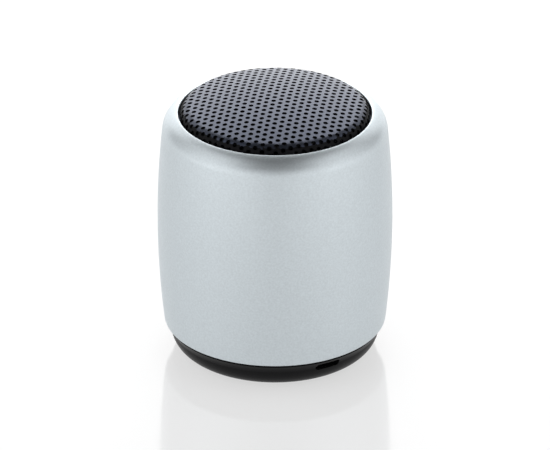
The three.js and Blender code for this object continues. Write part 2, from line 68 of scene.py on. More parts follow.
DOME_RISE = 3.78 * MM
DOME_EDGE_R = 21.8 * MM  # where the shallow dome turns into the rounding
DOME_FALL = 2.13 * MM  # from the middle to there
GRILLE_T = 0.6 * MM
SKIRT_R = 24.05 * MM
DOME_EDGE_LEAN = math.atan(2 * DOME_FALL / DOME_EDGE_R)
SKIRT_ROUND = (SKIRT_R - DOME_EDGE_R) / (1 - math.sin(DOME_EDGE_LEAN))
SKIRT_ROUND_Z = LIP_Z + DOME_RISE - DOME_FALL - SKIRT_ROUND * math.cos(DOME_EDGE_LEAN)
FLANGE_R = 25.4 * MM
FLANGE_Z = 63.1 * MM
HOLE_R = 0.63 * MM
HOLE_PITCH = 2.058 * MM
HOLE_ROWS_AT = math.radians(-67.7)  # direction of one row of holes, from +X
HOLE_AT = (-3.68 * MM, -4.61 * MM)  # one hole's centre

BASE_Z = 0.5 * MM
BASE_FLAT_R = 21.7 * MM
BASE_ROUND_R = 5.1 * MM
BASE_RIM_R = 27.9 * MM
BASE_RIM_Z = SEAM_Z - 0.5 * MM
BASE_FLOOR_Z = 2.3 * MM
TUBE_R = 26.3 * MM
TUBE_IN_R = 24.9 * MM
SPIGOT_Z = 11.6 * MM
FOOT_IN_R = 14.7 * MM
FOOT_OUT_R = 20.5 * MM
GROOVE_Z = 1.3 * MM
BUTTON_R = 5.5 * MM
BUTTON_HOLE_R = 5.9 * MM
LAMP_Y = 10.6 * MM
SLOT_W = 7.0 * MM
SLOT_H = 1.95 * MM
SLOT_Z = SEAM_Z - 2.2 * MM
SCREW_RING_R = 17.7 * MM
SCREW_ANGLES = [math.radians(45 + 90 * i) for i in range(4)]
BOSS_R = 3.4 * MM
BOSS_Z = 1.8 * MM
BOSS_TOP_Z = 7.2 * MM
SCREW_HEAD_R = 2.6 * MM  # the counterbore round the head
SCREW_SEAT_Z = 3.0 * MM
SCREW_HOLE_R = 1.5 * MM
LAMP_HOLE_R = 1.3 * MM
FOOT_GAP = 0.2 * MM  # between the foot ring and the sides of its groove

MAGNET_R = 8.8 * MM
MAGNET_Z = 42.7 * MM
MAGNET_TOP_Z = 46.9 * MM
POLE_R = 9.3 * MM
POLE_Z = 47.0 * MM
POLE_TOP_Z = 49.4 * MM
TOP_RING_IN_R = 23.6 * MM  # the gasket and the retaining ring share these radii
TOP_RING_OUT_R = 25.7 * MM
TOP_RING_EDGE = 0.12 * MM
GASKET_Z = 61.6 * MM
GASKET_TOP_Z = 62.2 * MM
RETAINER_Z = 62.3 * MM
RETAINER_TOP_Z = 63.0 * MM

SIDES = 192  # facets round every large turned piece


# ---------------------------------------------------------------- mesh helpers


def piece_from(name, verts, faces, sharp_angle=35):
    """A smooth-shaded object of these faces, with edges sharper than the angle left crisp."""
    mesh = bpy.data.meshes.new(name)
    mesh.from_pydata(verts, [], faces)
    mesh.validate()
    bm = bmesh.new()
    bm.from_mesh(mesh)
    bmesh.ops.recalc_face_normals(bm, faces=bm.faces)
    bm.to_mesh(mesh)
    bm.free()
    piece = bpy.data.objects.new(name, mesh)
    bpy.context.scene.collection.objects.link(piece)
    smooth(piece, sharp_angle)
    return piece


def smooth(piece, sharp_angle=35):
    mesh = piece.data
    mesh.polygons.foreach_set("use_smooth", [True] * len(mesh.polygons))
    mesh.set_sharp_from_angle(angle=math.radians(sharp_angle))
    mesh.update()


def lathe(name, profile, sides=SIDES, sharp_angle=35):
    """The closed profile of (radius, height) turned about Z. A radius of nought becomes a point on it."""
    verts, rows = [], []
    for r, z in profile:
        if r < 1e-9:
            rows.append([len(verts)] * sides)
            verts.append((0, 0, z))
        else:
            rows.append(list(range(len(verts), len(verts) + sides)))
            for i in range(sides):
                a = 2 * math.pi * i / sides
                verts.append((r * math.cos(a), r * math.sin(a), z))
    faces = []
    for lower, upper in zip(rows, rows[1:] + rows[:1]):
        for i in range(sides):
            j = (i + 1) % sides
            corners = [lower[i], lower[j], upper[j], upper[i]]
            face = [c for k, c in enumerate(corners) if c not in corners[:k]]
            if len(face) > 2:
                faces.append(face)
    return piece_from(name, verts, faces, sharp_angle)


def arc(r, z, radius, a0, a1, steps):
    """Points on a circle's arc in the section plane, from angle a0 to a1 in degrees."""
    angles = [math.radians(a0 + (a1 - a0) * i / steps) for i in range(steps + 1)]
    return [(r + radius * math.cos(a), z + radius * math.sin(a)) for a in angles]


def prism(name, outline, y0, y1):
    """An outline of (x, z) points, run along Y."""
    n = len(outline)
    verts = [(x, y, z) for y in (y0, y1) for x, z in outline]
    faces = [list(range(n)), list(range(n, 2 * n))]
    faces += [[i, (i + 1) % n, n + (i + 1) % n, n + i] for i in range(n)]
    return piece_from(name, verts, faces)


def stadium(width, height, centre_z, steps=12):
    """A slot's outline of (x, z) points, with round ends."""
    half, radius = width / 2 - height / 2, height / 2
    right = [(half + dx, dz) for dx, dz in arc(0, centre_z, radius, -90, 90, steps)]
    return right + [(-half + dx, dz) for dx, dz in arc(0, centre_z, radius, 90, 270, steps)]


def carve(piece, cutter, operation="DIFFERENCE"):
    """Cuts or joins the cutter, then drops it."""
    modifier = piece.modifiers.new("carve", "BOOLEAN")
    modifier.operation = operation
    modifier.solver = "EXACT"
    modifier.object = cutter
    depsgraph = bpy.context.evaluated_depsgraph_get()
    mesh = bpy.data.meshes.new_from_object(piece.evaluated_get(depsgraph))
    piece.modifiers.clear()
    old = piece.data
    piece.data = mesh
    bpy.data.meshes.remove(old)
    bpy.data.objects.remove(cutter)
    smooth(piece)


# ---------------------------------------------------------------- material helpers


class Surface:
    """A node material with object coordinates in metres, a Principled shader and a few shorthand nodes."""

    def __init__(self, name, roughness=0.5, metallic=0.0, **sockets):
        self.material = bpy.data.materials.new(name)
        self.material.use_nodes = True
        self.tree = self.material.node_tree
        self.shader = self.tree.nodes["Principled BSDF"]
        self.shader.inputs["Roughness"].default_value = roughness
        self.shader.inputs["Metallic"].default_value = metallic
        for socket, value in sockets.items():
            self.shader.inputs[socket.replace("_", " ")].default_value = value
        self.place = self.node("ShaderNodeTexCoord").outputs["Object"]

    def node(self, kind, **settings):
        made = self.tree.nodes.new(kind)
        for key, value in settings.items():
            setattr(made, key, value)
        return made

    def link(self, output, socket):
        self.tree.links.new(output, socket)

    def stretched(self, scale):
        """Coordinates scaled by a different amount along each axis."""
        mapping = self.node("ShaderNodeMapping")
        mapping.inputs["Scale"].default_value = scale
        self.link(self.place, mapping.inputs["Vector"])
        return mapping.outputs["Vector"]

    def noise(self, size, detail=3.0, place=None):
        """Noise whose features are about size across, from 0 to 1."""
        made = self.node("ShaderNodeTexNoise")
        made.inputs["Scale"].default_value = 1 / size
        made.inputs["Detail"].default_value = detail
        self.link(place or self.place, made.inputs["Vector"])
        return made.outputs["Fac"]

    def ramp(self, value, stops):
        """A colour ramp of (position, colour) stops."""
        made = self.node("ShaderNodeValToRGB")
        elements = made.color_ramp.elements
        while len(elements) < len(stops):
            elements.new(0.5)
        for element, (position, colour) in zip(elements, stops):
            element.position = position
            element.color = (*colour, 1)
        self.link(value, made.inputs["Fac"])
        return made.outputs["Color"]

    def between(self, value, low, high):
        """value, from 0 to 1, mapped to low to high."""
        made = self.node("ShaderNodeMapRange")
        made.inputs["To Min"].default_value = low
        made.inputs["To Max"].default_value = high
        self.link(value, made.inputs["Value"])
        return made.outputs["Result"]

    def colour(self, output):
        self.link(output, self.shader.inputs["Base Color"])

    def roughness(self, value, low, high):
        self.link(self.between(value, low, high), self.shader.inputs["Roughness"])

    def bump(self, *layers):
        """Each layer is (height from 0 to 1, depth in metres)."""
        normal = None
        for height, depth in layers:
            made = self.node("ShaderNodeBump")
            made.inputs["Distance"].default_value = depth
            self.link(height, made.inputs["Height"])
            if normal:
                self.link(normal, made.inputs["Normal"])
            normal = made.outputs["Normal"]
        self.link(normal, self.shader.inputs["Normal"])


def shades(colour, spread):
    """Two stops a little darker and lighter than the colour."""
    darker = tuple(c * (1 - spread) for c in colour)
    lighter = tuple(min(1, c * (1 + spread)) for c in colour)
    return [(0.3, darker), (0.7, lighter)]


def grained(name, colour, roughness, metallic=0.0, grain=0.2 * MM, depth=0.01 * MM, spread=0.06, **sockets):
    """A material with fine grain, slight colour change and uneven gloss."""
    s = Surface(name, roughness, metallic, **sockets)
    fine = s.noise(grain, 4)
    broad = s.noise(grain * 25, 3)
    s.colour(s.ramp(broad, shades(colour, spread)))
    s.roughness(fine, roughness - 0.06, roughness + 0.06)
    s.bump((fine, depth))
    return s.material


# ---------------------------------------------------------------- outer shell


def barrel_radius(z, inset=0.0):
    return BODY_R - BARREL_R + math.sqrt((BARREL_R - inset) ** 2 - (z - WIDEST_Z) ** 2)


def barrel_side(z0, z1, inset, steps):
    heights = [z0 + (z1 - z0) * i / steps for i in range(steps + 1)]
    return [(barrel_radius(z, inset), z) for z in heights]


def make_shell():
    shoulder_z = LIP_Z - SHOULDER_R
    lean = math.asin((shoulder_z - WIDEST_Z) / (BARREL_R - SHOULDER_R))
    shoulder_x = BODY_R - BARREL_R + (BARREL_R - SHOULDER_R) * math.cos(lean)
    inside_r = SHOULDER_R - WALL
    lip_angle = math.degrees(math.acos((LIP_R + LIP_ROLL - shoulder_x) / SHOULDER_R))
    inside_angle = math.degrees(math.acos((LIP_R - shoulder_x) / inside_r))
    lip_top = shoulder_z + SHOULDER_R * math.sin(math.radians(lip_angle))
    side_top = shoulder_z + SHOULDER_R * math.sin(lean)
    inside_top = shoulder_z + inside_r * math.sin(lean)
    edge = 0.25 * MM  # rounding of the lower edge
    bottom = barrel_radius(SEAM_Z)
    return lathe(
        "shell_skin",
        arc(bottom - edge, SEAM_Z + edge, edge, -90, -5, 4)
        + barrel_side(SEAM_Z + 2 * edge, side_top, 0, 48)[:-1]
        + arc(shoulder_x, shoulder_z, SHOULDER_R, math.degrees(lean), lip_angle, 28)
        + arc(LIP_R + LIP_ROLL, lip_top - LIP_ROLL, LIP_ROLL, 100, 180, 5)
        + arc(shoulder_x, shoulder_z, inside_r, inside_angle, math.degrees(lean), 12)
        + barrel_side(inside_top, SEAM_Z, WALL, 12)[1:],
        sharp_angle=50,
    )


# ---------------------------------------------------------------- grille


def dome_height(r):
    return LIP_Z + DOME_RISE - DOME_FALL * (r / DOME_EDGE_R) ** 2


ROUND_RUN = SKIRT_ROUND * (math.pi / 2 - DOME_EDGE_LEAN)
SKIRT_RUN = SKIRT_ROUND_Z - FLANGE_Z - GRILLE_T
SHEET_R = DOME_EDGE_R + ROUND_RUN + SKIRT_RUN
HOLES_END = SHEET_R - 0.9 * MM


def on_sheet(u):
    """(radius, height, slope from level) of the grille's outer face, u along the sheet from the axis."""
    if u <= DOME_EDGE_R:
        return u, dome_height(u), math.atan(2 * DOME_FALL * u / DOME_EDGE_R**2)
    v = u - DOME_EDGE_R
    if v <= ROUND_RUN:
        lean = DOME_EDGE_LEAN + v / SKIRT_ROUND
        x, z = SKIRT_R - SKIRT_ROUND, SKIRT_ROUND_Z
        return x + SKIRT_ROUND * math.sin(lean), z + SKIRT_ROUND * math.cos(lean), lean
    return SKIRT_R, SKIRT_ROUND_Z - (v - ROUND_RUN), math.pi / 2


def sheet_point(x, y, depth):
    """A point of the flat sheet formed into the dome and skirt, depth below the outer face."""
    u = math.hypot(x, y)
    r, z, lean = on_sheet(u)
    r -= depth * math.sin(lean)
    z -= depth * math.cos(lean)
    share = r / u if u > 1e-9 else 0.0
    return x * share, y * share, z


def hole_centres():
    along = (math.cos(HOLE_ROWS_AT), math.sin(HOLE_ROWS_AT))
    across = (math.cos(HOLE_ROWS_AT + math.pi / 3), math.sin(HOLE_ROWS_AT + math.pi / 3))
    reach = int(2.4 * SHEET_R / HOLE_PITCH)
    for i in range(-reach, reach + 1):
        for j in range(-reach, reach + 1):
            x = HOLE_AT[0] + HOLE_PITCH * (i * along[0] + j * across[0])
            y = HOLE_AT[1] + HOLE_PITCH * (i * along[1] + j * across[1])
            if math.hypot(x, y) < HOLES_END:
                yield x, y


def make_grille():
    """Cuts the holes in the flat sheet, forms it, gives it its thickness, and adds the flange."""
    hole_sides, rim_sides = 18, SIDES
    points, edges, holes = [], [], []

    def loop(ring):
        first = len(points)
        points.extend(Vector(p) for p in ring)
        edges.extend((first + i, first + (i + 1) % len(ring)) for i in range(len(ring)))

    def circle(x, y, radius, sides):
        turns = [2 * math.pi * i / sides for i in range(sides)]
        return [(x + radius * math.cos(t), y + radius * math.sin(t)) for t in turns]

    for x, y in hole_centres():
        holes.append((x, y))
        loop(circle(x, y, HOLE_R, hole_sides))
    for share in (0.25, 0.5, 0.75, 1.0):
        loop(circle(0, 0, HOLES_END + HOLE_R + (SHEET_R - HOLES_END - HOLE_R) * share, rim_sides))
    # Corners of the cells between holes keep the triangles even.
    spread = HOLE_PITCH / math.sqrt(3)
    seen = set()
    for x, y in holes:
        for k in range(6):
            t = HOLE_ROWS_AT + math.radians(30 + 60 * k)
            corner = (x + spread * math.cos(t), y + spread * math.sin(t))
            key = (round(corner[0] / MM, 2), round(corner[1] / MM, 2))
            if key not in seen and math.hypot(*corner) < HOLES_END:
                seen.add(key)
                points.append(Vector(corner))
    flat, _, triangles, *_ = delaunay_2d_cdt(points, edges, [], 1, 1e-9)
    limit = (HOLE_R * math.cos(math.pi / hole_sides)) * 0.97
    cells = {}
    for x, y in holes:
        cells.setdefault((int(x // HOLE_PITCH), int(y // HOLE_PITCH)), []).append((x, y))

    def in_hole(x, y):
        a, b = int(x // HOLE_PITCH), int(y // HOLE_PITCH)
        near = [h for i in (-1, 0, 1) for j in (-1, 0, 1) for h in cells.get((a + i, b + j), [])]
        return any(math.hypot(x - hx, y - hy) < limit for hx, hy in near)

    kept = []
    for tri in triangles:
        x = sum(flat[i].x for i in tri) / 3
        y = sum(flat[i].y for i in tri) / 3
        if not in_hole(x, y):
            kept.append(tri)
    n = len(flat)
    verts = [sheet_point(p.x, p.y, depth) for depth in (0, GRILLE_T) for p in flat]
    faces = [list(t) for t in kept] + [[n + t[2], n + t[1], n + t[0]] for t in kept]
    open_edges = {}
    for t in kept:
        for a, b in zip(t, (*t[1:], t[0])):
            key = (min(a, b), max(a, b))
            open_edges[key] = None if key in open_edges else (a, b)
    for a, b in filter(None, open_edges.values()):
        faces.append([b, a, n + a, n + b])
    grille = piece_from("grille_sheet", verts, faces, 40)
    flange = lathe(
        "grille_flange",
        [
            (SKIRT_R - GRILLE_T, FLANGE_Z),
            (FLANGE_R, FLANGE_Z),
            (FLANGE_R, FLANGE_Z + GRILLE_T),
            (SKIRT_R - GRILLE_T, FLANGE_Z + GRILLE_T),
        ],
    )
    return grille, flange


# ---------------------------------------------------------------- base


def turned_post(name, radius, z0, z1, x, y, sides=48):
    post = lathe(name, [(0, z0), (radius, z0), (radius, z1), (0, z1)], sides)
    post.data.transform(Matrix.Translation((x, y, 0)))
    return post


def make_base():
    inside_round = 3.0 * MM
    edge = 0.25 * MM
    base = lathe(
        "base_body",
        [
            (BUTTON_HOLE_R + edge, BASE_Z),
            (FOOT_IN_R - FOOT_GAP, BASE_Z),
            (FOOT_IN_R - FOOT_GAP, GROOVE_Z),
            (FOOT_OUT_R + FOOT_GAP, GROOVE_Z),
            (FOOT_OUT_R + FOOT_GAP, BASE_Z),
        ]
        + arc(BASE_FLAT_R, BASE_Z + BASE_ROUND_R, BASE_ROUND_R, -90, 0, 28)
        + arc(BASE_RIM_R - edge, BASE_RIM_Z - edge, edge, 10, 90, 4)
        + [(TUBE_R, BASE_RIM_Z), (TUBE_R, SPIGOT_Z), (TUBE_IN_R, SPIGOT_Z)]
        + arc(TUBE_IN_R - inside_round, BASE_FLOOR_Z + inside_round, inside_round, 0, -90, 10)
        + [(BUTTON_HOLE_R, BASE_FLOOR_Z), (BUTTON_HOLE_R, BASE_Z + edge)],
    )
    for a in SCREW_ANGLES:
        x, y = SCREW_RING_R * math.cos(a), SCREW_RING_R * math.sin(a)
        carve(base, turned_post("boss", BOSS_R, BOSS_Z, BOSS_TOP_Z, x, y), "UNION")
        carve(base, turned_post("seat", SCREW_HEAD_R, 0, SCREW_SEAT_Z, x, y))
        carve(base, turned_post("bore", SCREW_HOLE_R, 1 * MM, 9 * MM, x, y))
    carve(base, turned_post("lamp_hole", LAMP_HOLE_R, 0, 3 * MM, 0, LAMP_Y))
    carve(base, prism("slot_cutter", stadium(SLOT_W, SLOT_H, SLOT_Z), -30 * MM, -23 * MM))
    return base


def make_foot():
    edge = 0.3 * MM
    top = GROOVE_Z - 0.1 * MM
    return lathe(
        "foot_pad",
        arc(FOOT_OUT_R - edge, edge, edge, -90, 0, 6)
        + [(FOOT_OUT_R, top), (FOOT_IN_R, top)]
        + arc(FOOT_IN_R + edge, edge, edge, 180, 270, 6),
    )


def power_symbol(z0, z1):
    """Cutters for a ring open at one side and for the bar that stands in its gap."""
    ring_r, line, half_gap, bar_low, bar_high = 1.8 * MM, 0.36 * MM, 38, 0.5 * MM, 2.2 * MM
    start, end = 90 + half_gap, 450 - half_gap
    outline = arc(0, 0, ring_r + line / 2, start, end, 40) + arc(0, 0, ring_r - line / 2, end, start, 40)
    ring = prism("symbol_ring", outline, z0, z1)
    half = line / 2
    corners = [(-half, bar_low), (half, bar_low), (half, bar_high), (-half, bar_high)]
    bar = prism("symbol_bar", corners, z0, z1)
    for cutter in (ring, bar):
        cutter.data.transform(Matrix.Rotation(math.pi / 2, 4, "X"))
        yield cutter


def make_button():
    """A dished cap with a power symbol sunk in its face, on a flange and a short stem."""
    face, edge, dish, dish_r = 0.7 * MM, 0.4 * MM, 0.25 * MM, 45 * MM
    flange_r, flange_z, flange_top = 7.4 * MM, 2.4 * MM, 2.9 * MM
    stem_r, stem_top, sunk = 1.5 * MM, 3.1 * MM, 0.2 * MM
    button = lathe(
        "button_cap",
        [(0, face + dish)]
        + arc(0, face + dish - dish_r, dish_r, 89.5, 84, 12)
        + arc(BUTTON_R - edge, face + edge, edge, -80, 0, 8)
        + [(BUTTON_R, flange_z), (flange_r, flange_z), (flange_r, flange_top)]
        + [(stem_r, flange_top), (stem_r, stem_top), (0, stem_top)],
        96,
    )
    for cutter in power_symbol(0, face + dish + sunk):
        carve(button, cutter)
    return button


# ---------------------------------------------------------------- round pieces inside


def make_light_pipe():
    """A clear rod with a domed end, its flange resting on the base's floor."""
    dome = 0.35 * MM
    pipe = lathe(
        "light_pipe",
        [(0, 0.8 * MM)]
        + arc(1.1 * MM - dome, 0.8 * MM + dome, dome, -90, 0, 6)
        + [(1.1 * MM, 2.4 * MM), (1.7 * MM, 2.4 * MM), (1.7 * MM, 3.0 * MM), (1.1 * MM, 3.0 * MM)]
        + [(1.1 * MM, 6.4 * MM), (0, 6.4 * MM)],
        48,
    )
    pipe.data.transform(Matrix.Translation((0, LAMP_Y, 0)))
    return pipe


CONE_NECK_R = 10.1 * MM
CONE_NECK_Z = 56.2 * MM
CONE_RIM_R = 18.3 * MM
CONE_RIM_Z = 61.4 * MM
CONE_T = 0.5 * MM


def make_cone():
    """A slightly curved cone with two pressed ribs."""
    steps, ribs, rib_height, bow = 64, (0.4, 0.68), 0.14 * MM, 0.25 * MM

    def face(t):
        rise = CONE_NECK_Z + (CONE_RIM_Z - CONE_NECK_Z) * t + bow * math.sin(math.pi * t)
        return rise + sum(rib_height * math.exp(-(((t - at) / 0.025) ** 2)) for at in ribs)

    top = [(CONE_NECK_R + (CONE_RIM_R - CONE_NECK_R) * i / steps, face(i / steps)) for i in range(steps + 1)]
    under = [(r, z - CONE_T) for r, z in top[2:]]
    collar = CONE_NECK_Z - CONE_T - 0.6 * MM
    foot = [(CONE_NECK_R, collar), (CONE_NECK_R + 0.4 * MM, collar)]
    return lathe("cone_paper", foot + under + top[::-1], sharp_angle=60)


def make_dust_cap():
    rim_r, rim_z, rise, thickness, steps = 11.0 * MM, 56.95 * MM, 3.4 * MM, 0.4 * MM, 24
    top = [(rim_r * i / steps, rim_z + thickness + rise * (1 - (i / steps) ** 2)) for i in range(steps + 1)]
    under = [(r, z - thickness) for r, z in top]
    return lathe("dust_cap_dome", under + top[::-1], 128)


FLEX_SEGMENTS = 36  # segments round the surround and the damper


def segments(name, profile, steps=4):
    """The closed profile turned about Z in separate closed segments."""
    n = len(profile)
    for k in range(FLEX_SEGMENTS):
        verts, faces = [], [list(range(n)), list(range(n * steps, n * (steps + 1)))]
        for i in range(steps + 1):
            a = 2 * math.pi * (k + i / steps) / FLEX_SEGMENTS
            verts += [(r * math.cos(a), r * math.sin(a), z) for r, z in profile]
        for i in range(steps):
            for j in range(n):
                jj = (j + 1) % n
                faces.append([n * i + j, n * i + jj, n * (i + 1) + jj, n * (i + 1) + j])
        yield piece_from(f"{name}_{k + 1}", verts, faces, 60)


def make_tinsel(side):
    """A braided lead in a loose double bend, from the lug to the cone's neck. side is 1 or -1 along Y."""
    y, radius = 2.6 * MM * side, 0.25 * MM
    route = [(20.2, 1.0, 55.5), (18.6, 1.0, 56.1), (16.6, 0.95, 56.2), (14.8, 0.9, 57.2), (13.6, 0.85, 57.2)]
    data = bpy.data.curves.new("tinsel", "CURVE")
    data.dimensions = "3D"
    data.bevel_depth = radius
    data.bevel_resolution = 6
    data.use_fill_caps = True
    spline = data.splines.new("BEZIER")
    spline.bezier_points.add(len(route) - 1)
    for point, (x, share, z) in zip(spline.bezier_points, route):
        point.co = (x * MM, y * share, z * MM)
        point.handle_left_type = point.handle_right_type = "AUTO"
    curve = bpy.data.objects.new("tinsel", data)
    bpy.context.scene.collection.objects.link(curve)
    mesh = bpy.data.meshes.new_from_object(curve.evaluated_get(bpy.context.evaluated_depsgraph_get()))
    bpy.data.objects.remove(curve)
    name = "tinsel_braid_positive" if side > 0 else "tinsel_braid_negative"
    braid = bpy.data.objects.new(name, mesh)
    bpy.context.scene.collection.objects.link(braid)
    smooth(braid)
    return braid


def make_surround():
    middle, roll, thickness, foot_z = 20.2 * MM, 1.8 * MM, 0.4 * MM, 61.55 * MM
    inner, outer = 17.3 * MM, 23.4 * MM
    return segments(
        "surround_roll",
        [(inner, foot_z)]
        + arc(middle, foot_z, roll - thickness, 180, 0, 28)
        + [(outer, foot_z), (outer, foot_z + thickness)]
        + arc(middle, foot_z, roll, 13, 167, 32)
        + [(inner, foot_z + thickness)],
    )


def make_damper():
    inner, outer, waves, height, thickness = 10.15 * MM, 17.3 * MM, 1.5, 0.45 * MM, 0.3 * MM
    middle_z, wave_end, steps = 53.95 * MM, 0.6, 120
    line = []
    for i in range(steps + 1):
        t = i / steps
        u = min(1, t / wave_end)
        wave = math.sin(2 * math.pi * waves * u) * math.sin(math.pi * u)
        line.append((inner + (outer - inner) * t, middle_z + height * wave))
    under = [(r, z - thickness / 2) for r, z in line]
    top = [(r, z + thickness / 2) for r, z in line]
    return segments("damper_disc", under + top[::-1])


def make_winding():
    """Only the outer layer of round wire shows, one turn above the other."""
    inner, outer, z0, z1, turns = 10.03 * MM, 10.55 * MM, 45.9 * MM, 50.7 * MM, 20
    wire_r = (z1 - z0) / turns / 2
    outside = []
    for i in range(turns):
        outside += arc(outer - wire_r, z0 + wire_r * (2 * i + 1), wire_r, -80, 80, 6)
    return lathe("coil_turns", [(inner, z0)] + outside + [(inner, z1)], 128, 80)


def make_former():
    inner, thickness, edge = 9.75 * MM, 0.2 * MM, 0.05 * MM
    z0, z1 = 45.8 * MM, CONE_NECK_Z
    outside = [(inner + thickness - edge, z0), (inner + thickness, z0 + edge)]
    return lathe("coil_former", [(inner, z0)] + outside + [(inner + thickness, z1), (inner, z1)], 128)


def make_dust_screen():
    """The cloth follows the dome from below and is glued to it at its edge."""
    top, thickness, edge, steps = GRILLE_T + 0.3 * MM, 0.4 * MM, 22.2 * MM, 32
    radii = [edge * i / steps for i in range(steps + 1)]
    upper = [(r, dome_height(r) - top) for r in radii]
    lower = [(r, z - thickness) for r, z in upper]
    return lathe("dust_cloth", lower + upper[::-1])


def top_ring(name, z0, z1):
    """A flat ring with rounded edges, under the grille's flange."""
    inner, outer, edge = TOP_RING_IN_R, TOP_RING_OUT_R, TOP_RING_EDGE
    return lathe(
        name,
        arc(inner + edge, z0 + edge, edge, 180, 270, 4)
        + arc(outer - edge, z0 + edge, edge, -90, 0, 4)
        + arc(outer - edge, z1 - edge, edge, 0, 90, 4)
        + arc(inner + edge, z1 - edge, edge, 90, 180, 4),
    )


def make_yoke():
    radius, inner, z0, floor_z, z1 = 13.0 * MM, 11.2 * MM, 40.4 * MM, 42.6 * MM, 49.4 * MM
    edge, draw = 0.8 * MM, 1.2 * MM
    return lathe(
        "yoke_cup",
        [(0, z0)]
        + arc(radius - edge, z0 + edge, edge, -90, 0, 10)
        + [(radius, z1 - 0.2 * MM), (radius - 0.2 * MM, z1), (inner, z1)]
        + arc(inner - draw, floor_z + draw, draw, 0, -90, 8)[:-1]
        + [(9.2 * MM, floor_z), (0, floor_z)],
        128,
    )


def make_disc(name, radius, z0, z1, edge):
    return lathe(
        name,
        [(0, z0)]
        + arc(radius - edge, z0 + edge, edge, -90, 0, 5)
        + arc(radius - edge, z1 - edge, edge, 0, 90, 5)
        + [(0, z1)],
        128,
    )


# ---------------------------------------------------------------- materials


def aluminium():
    s = Surface("anodised_aluminium", 0.44, 1.0)
    grain = s.noise(0.28 * MM, 2)
    speckle = s.noise(0.5 * MM, 2)
    s.colour(s.ramp(speckle, shades((0.64, 0.695, 0.725), 0.05)))
    s.roughness(grain, 0.38, 0.50)
    s.bump((grain, 0.014 * MM))
    return s.material


def grille_black():
    s = Surface("grille_black", 0.3, 0.0, Specular_IOR_Level=0.9, Specular_Tint=(0.58, 0.68, 1.0, 1.0))
    peel = s.noise(0.35 * MM, 3)
    s.colour(s.ramp(s.noise(4 * MM, 3), shades((0.010, 0.011, 0.014), 0.15)))
    s.roughness(peel, 0.26, 0.42)
    s.bump((peel, 0.006 * MM))
    return s.material


SHADED_BELOW = 0.72  # faces whose normal leans further from straight up than this cosine take the painted shade


def paint_shade_on_skirt_and_holes(grille):
    """The skirt, the inner face and the walls of the punched holes get a darker, less glossy copy of the
    grille's black: painted shade where these faces turn from the light.
    """
    # painted shade: a near-black, low-gloss copy of the grille's paint
    painted_shade = grained("grille_painted_shade", (0.004, 0.004, 0.005), 0.6, depth=0.004 * MM, Specular_IOR_Level=0.12)
    grille.data.materials.append(painted_shade)
    for face in grille.data.polygons:
        is_wall = len(face.vertices) == 4
        if is_wall or face.normal.z < SHADED_BELOW:
            face.material_index = 1


def woven(name, colour, pitch, roughness=0.9, depth=0.05 * MM):
    """Two sets of threads at right angles."""
    s = Surface(name, roughness, 0.0, Sheen_Weight=0.2)
    threads = []
    for axis in ("X", "Y"):
        wave = s.node("ShaderNodeTexWave", wave_type="BANDS", bands_direction=axis)
        wave.inputs["Scale"].default_value = math.pi / (10 * pitch)
        s.link(s.place, wave.inputs["Vector"])
        threads.append(wave.outputs["Fac"])
    height = s.node("ShaderNodeMath", operation="MAXIMUM")
    s.link(threads[0], height.inputs[0])
    s.link(threads[1], height.inputs[1])
    s.colour(s.ramp(height.outputs[0], shades(colour, 0.35)))
    s.bump((height.outputs[0], depth), (s.noise(pitch * 8), depth / 2))
    return s.material


def open_foam():
    s = Surface("foam", 0.95)
    cells = s.node("ShaderNodeTexVoronoi")
    cells.inputs["Scale"].default_value = 1 / (0.5 * MM)
    s.link(s.place, cells.inputs["Vector"])
    s.colour(s.ramp(cells.outputs["Distance"], [(0.1, (0.012, 0.012, 0.013)), (0.8, (0.06, 0.06, 0.063))]))
    s.bump((cells.outputs["Distance"], 0.15 * MM))
    return s.material


def circuit_board():
    """Green mask over copper tracks that run square to each other."""
    s = Surface("circuit_board", 0.28, 0.0, Coat_Weight=0.4, Coat_Roughness=0.15)
    cells = s.node("ShaderNodeTexVoronoi", distance="CHEBYCHEV", feature="F1")
    cells.inputs["Scale"].default_value = 1 / (3.2 * MM)
    cells.inputs["Randomness"].default_value = 0.8
    s.link(s.place, cells.inputs["Vector"])
    steps = s.node("ShaderNodeMath", operation="PINGPONG")
    steps.inputs[1].default_value = 0.08
    s.link(cells.outputs["Distance"], steps.inputs[0])
    lines = s.between(steps.outputs[0], 0.0, 12.5)
    tracks = s.ramp(lines, [(0.45, (0.0, 0.0, 0.0)), (0.55, (1.0, 1.0, 1.0))])
    mask = s.node("ShaderNodeMix", data_type="RGBA")
    s.link(tracks, mask.inputs[0])
    mask.inputs[6].default_value = (0.010, 0.070, 0.022, 1)
    mask.inputs[7].default_value = (0.022, 0.150, 0.050, 1)
    s.colour(mask.outputs[2])
    s.bump((tracks, 0.03 * MM), (s.noise(0.4 * MM), 0.004 * MM))
    return s.material


def fibrous(name, colour, roughness, size, depth, spread=0.2):
    """Short fibres pressed flat."""
    s = Surface(name, roughness)
    fibres = s.noise(size, 8, s.stretched((1.0, 1.0, 3.0)))
    patches = s.noise(size * 12, 3)
    s.colour(s.ramp(patches, shades(colour, spread)))
    s.roughness(fibres, roughness - 0.08, min(1, roughness + 0.05))
    s.bump((fibres, depth))
    return s.material


def turned_metal(name, colour, roughness=0.3, pitch=0.12 * MM):
    """Fine rings left by turning or drawing, round the body's axis."""
    s = Surface(name, roughness, 1.0)
    rings = s.node("ShaderNodeTexWave", wave_type="RINGS", rings_direction="Z", wave_profile="SAW")
    rings.inputs["Scale"].default_value = math.pi / (10 * pitch)
    rings.inputs["Distortion"].default_value = 1.5
    s.link(s.place, rings.inputs["Vector"])
    s.colour(s.ramp(s.noise(3 * MM), shades(colour, 0.05)))
    s.roughness(s.noise(0.8 * MM), roughness - 0.08, roughness + 0.08)
    s.bump((rings.outputs["Fac"], 0.004 * MM))
    return s.material


